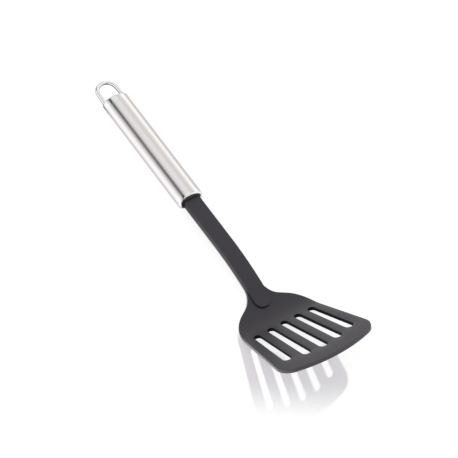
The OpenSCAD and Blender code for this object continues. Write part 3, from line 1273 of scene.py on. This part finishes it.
@dataclass
class HangingLoop(Maker):
    """The bent wire loop with both feet in the rear cap."""

    wire_sides: int = 32
    bend_steps: int = 64

    def build(self, material: Material) -> Object:
        """Models the wire: a leg, the bend and the other leg.

        Args:
            material: Its finish.

        Returns:
            The loop's object.
        """
        size = self.sizes
        splay, bend_r = math.radians(size.loop_splay), size.loop_r
        leg = (size.loop_reach + bend_r * math.sin(splay)) / math.cos(splay) + size.seat_depth
        centre = Vector((size.rear_face_x - size.loop_reach, 0, 0))
        way = Vector((math.cos(splay), math.sin(splay), 0))
        touch = centre + bend_r * Vector((-math.sin(splay), math.cos(splay), 0))
        mesh = bmesh.new()
        foot = Matrix.Translation(touch + way * leg) @ way.to_track_quat("Z", "Y").to_matrix().to_4x4()
        edges = circle(mesh, self.wire_sides, size.wire_d / 2, foot, capped=True)
        edges = self._pull(mesh, edges, -way * leg)
        spun = bmesh.ops.spin(
            mesh, geom=edges, cent=centre, axis=(0, 0, 1), steps=self.bend_steps,
            angle=math.pi - 2 * splay, use_merge=False, use_duplicate=False,
        )["geom_last"]
        edges = self._pull(mesh, edges_in(spun), Vector((way.x, -way.y, 0)) * leg)
        bmesh.ops.edgeloop_fill(mesh, edges=edges)
        return self.lay_down(mesh, "wire_loop", material, "loop_wire", "hanging_loop")

    @staticmethod
    def _pull(mesh: Mesh, edges: Edges, way: Vector) -> Edges:
        """Extrudes a ring of edges along a straight line."""
        made = bmesh.ops.extrude_edge_only(mesh, edges=edges)["geom"]
        bmesh.ops.translate(mesh, vec=way, verts=verts_in(made))
        return edges_in(made)


# The studio


@dataclass(frozen=True)
class FloorFinish:
    """Pale floor that the camera sees mirror the blade faintly, in front of the blade and beside it."""

    grey: Colour = (0.8, 0.8, 0.8)
    rough: float = 0.6
    # What the camera sees: plain floor, and wet floor in front of the blade and beside it, which fades out
    pale: Colour = (0.35, 0.35, 0.35)
    plain: Colour = (1, 1, 1)
    plain_level: float = 0.8
    sheen: Colour = (0.43, 0.448, 0.419)
    sheen_rough: float = 0.07
    glow: Colour = (1, 0.967, 1.022)
    glow_level: float = 0.46
    ahead_way: Coords = (0.9996, 0.0274, 0)
    ahead: Step = Step(0.128, 0.134)
    beside_way: Coords = (0.4794, -0.8776, 0)
    beside: Step = Step(0.067, 0.077)
    fade_way: Coords = (0.8705, -0.4922, 0)
    fade: Step = Step(0.132, 0.172, 1, 0)
    # What the steel mirrors: brighter towards -Y and from the neck on, dark round the loop
    across: Step = Step(-0.05, -0.01, 1.12, 0.66)
    along: Step = Step(-0.03, 0.0, 1, 1.8)
    loop_at: Coords = (-0.154, 0, 0)
    from_loop: Step = Step(0.013, 0.03, 0.15, 1)

    def _seen(self, shop: NodeShop) -> Wire:
        """The floor as the camera sees it.

        Args:
            shop: The material's node maker.

        Returns:
            The shader.
        """
        ahead = shop.dot(shop.coords, self.ahead_way).through(self.ahead)
        beside = shop.dot(shop.coords, self.beside_way).through(self.beside)
        fade = shop.dot(shop.coords, self.fade_way).through(self.fade)
        sheen = {"Color": shop.opaque(self.sheen), "Roughness": self.sheen_rough}
        mirror = shop.node("ShaderNodeBsdfGlossy", {}, sheen)
        wet = shop.added(mirror, shop.emission(self.glow, self.glow_level))
        plain = shop.emission(self.plain, self.plain_level)
        pale = shop.node("ShaderNodeBsdfDiffuse", {}, {"Color": shop.opaque(self.pale)})
        return shop.added(pale, shop.blended(ahead.larger(beside) * fade, plain, wet))

    def _mirrored(self, shop: NodeShop) -> Wire:
        """The floor as the steel mirrors it.

        Args:
            shop: The material's node maker.

        Returns:
            The shader.
        """
        across = shop.axis(shop.coords, Axis.Y).through(self.across)
        along = shop.axis(shop.coords, Axis.X).through(self.along)
        from_loop = shop.distance(shop.coords, self.loop_at).through(self.from_loop)
        return shop.emission(across * along * from_loop)

    def make(self) -> Material:
        """Builds the material.

        Returns:
            The material.
        """
        shop = NodeShop.material_named("floor_white")
        shop.feed("Base Color", shop.opaque(self.grey))
        shop.feed("Roughness", self.rough)
        by_steel = shop.ray(Ray.GLOSSY) + shop.ray(Ray.TRANSMISSION)
        unseen = shop.blended(by_steel, shop.base, self._mirrored(shop))
        shop.surface(shop.blended(shop.ray(Ray.CAMERA), unseen, self._seen(shop)))
        return shop.owner


@dataclass(frozen=True)
class Surroundings:
    """White to the camera, even light on matt surfaces, and bands about the handle for steel to mirror."""

    white: Colour = (1, 1, 1)
    soft: Colour = (0.62, 0.62, 0.62)
    warm_until: float = 60.0
    warm_blue: float = 0.965
    dark: Colour = (0.03, 0.03, 0.03)
    dark_way: Coords = (-0.95, -0.22, 0.22)
    dark_step: Step = Step(0.955, 0.98)
    # Angle about the handle in degrees, from +Y over the top, and the level there
    bands: tuple[Point, ...] = (
        (-180, 1.15), (-90, 0.8), (-20, 0.7), (5, 0.72), (14, 1.12), (28, 1.24), (38, 0.88), (52, 0.7),
        (75, 0.93), (92, 0.86), (101, 0.6), (108, 0.04), (115, 0.04), (122, 0.45), (135, 0.82), (155, 1.15),
        (175, 1.2),
    )

    def _stops(self) -> list[tuple[float, tuple[float, ...]]]:
        """The bands as a colour ramp's stops over one full turn.

        Returns:
            Pairs of place and colour.
        """
        stops = []
        for angle, level in self.bands:
            blue = self.warm_blue if angle < self.warm_until else 1.0
            stops.append(((angle + 180) / 360, (level, level, level * blue, 1)))
        return stops

    def make(self) -> bpy.types.World:
        """Builds the world.

        Returns:
            The world.
        """
        shop = NodeShop(bpy.data.worlds.new("surroundings"))
        way = shop.node("ShaderNodeTexCoord", {}, {}, "Generated")
        turn = shop.axis(way, Axis.Z).angle(shop.axis(way, Axis.Y)) / (2 * math.pi) + 0.5
        bands = shop.node("ShaderNodeValToRGB", {"stops": self._stops()}, {"Fac": turn})
        patch = shop.dot(way, self.dark_way).through(self.dark_step)
        lit = shop.mixed(shop.ray(Ray.GLOSSY), self.soft, shop.mixed(patch, bands, self.dark))
        shop.feed("Color", shop.mixed(shop.ray(Ray.CAMERA), lit, self.white))
        return shop.owner


@dataclass
class Studio:
    """Floor, soft lamp, surroundings and camera."""

    floor_size: float = 6.0
    lamp_power: float = 7.0
    lamp_at: Coords = (-1.1, -0.7, 1.3)
    lamp_w: float = 1.2
    lamp_l: float = 0.9
    lens: float = 162.4
    sensor_w: float = 36.0
    clip_start: float = 0.05
    camera_at: Coords = (0.6251, -0.6721, 1.3685)
    camera_elevation: float = 55.913
    camera_heading: float = 131.970
    camera_roll: float = 16.246

    def floor(self) -> None:
        """Lays the floor."""
        mesh = bmesh.new()
        bmesh.ops.create_grid(mesh, x_segments=1, y_segments=1, size=self.floor_size)
        data = bpy.data.meshes.new("floor")
        mesh.to_mesh(data)
        mesh.free()
        data.materials.append(FloorFinish().make())
        put("floor", data)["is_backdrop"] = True

    def light(self) -> None:
        """Sets up the surroundings and one large soft lamp above, which the steel doesn't mirror."""
        bpy.context.scene.world = Surroundings().make()
        softbox = bpy.data.lights.new("softbox", "AREA")
        softbox.shape = "RECTANGLE"
        softbox.size, softbox.size_y = self.lamp_w, self.lamp_l
        softbox.energy = self.lamp_power
        lamp = put("softbox", softbox)
        lamp.location = self.lamp_at
        lamp.rotation_euler = (-lamp.location).to_track_quat("-Z", "Y").to_euler()
        lamp.visible_glossy = False

    def camera(self) -> None:
        """Sets up the camera at the photograph's viewing angle on the turner."""
        optics = bpy.data.cameras.new("camera")
        optics.lens = self.lens
        optics.sensor_width = self.sensor_w
        optics.clip_start = self.clip_start
        elevation, heading = math.radians(self.camera_elevation), math.radians(self.camera_heading)
        flat = Vector((math.cos(heading), math.sin(heading), 0))
        look = flat * math.cos(elevation) - Vector((0, 0, math.sin(elevation)))
        level = look.to_track_quat("-Z", "Y").to_matrix().to_4x4()
        roll = Matrix.Rotation(math.radians(self.camera_roll), 4, "Z")
        camera = put("camera", optics)
        camera.matrix_world = Matrix.Translation(self.camera_at) @ level @ roll
        bpy.context.scene.camera = camera


def dress_hidden(nodes: dict[str, Object]) -> None:
    """Gives the core and the lock pin their finishes.

    Args:
        nodes: The CAD nodes by name.
    """
    finishes = {
        "handle_core": PlainFinish("core_plastic", (0.3, 0.3, 0.31)),
        "lock_pin": PlainFinish("ground_pin", (0.6, 0.6, 0.6), 1.0, 0.3),
    }
    for name, finish in finishes.items():
        data = nodes[name].data
        data.materials.clear()
        data.materials.append(finish.make())
        LOG.info("%s: dressed", name)


def main() -> None:
    """Builds the turner and the studio round it."""
    logging.basicConfig(level=logging.INFO, format="%(name)s: %(message)s")
    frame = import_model()
    cad_box = [list(corner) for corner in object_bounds()]
    sizes = Sizes()
    place = Placement.resting(Vector(cad_box[0]), sizes)
    studio = Studio()
    studio.camera()
    studio.floor()
    studio.light()
    Head(sizes, place).build(NylonFinish().make())
    handle = Handle(sizes, place)
    polished = PolishedFinish("polished_steel").make()
    handle.tube(BrushedFinish("satin_steel", tilt=place.tilt).make())
    handle.front(polished)
    handle.rear(polished)
    # Painted light: the collar's nylon is a lighter copy of the head's, which lifts the collar's shaded
    # face
    collar_nylon = NylonFinish("collar_nylon", (0.062, 0.058, 0.066), (0.072, 0.067, 0.076), rough=0.5)
    handle.collar(collar_nylon.make())
    wire = PolishedFinish("chrome_wire", (0.98, 0.98, 0.985), rough=0.05)
    HangingLoop(sizes, place).build(wire.make())
    dress_hidden(frame["nodes"])
    bpy.context.scene.view_settings.view_transform = "Standard"


if __name__ == "__main__":
    main()
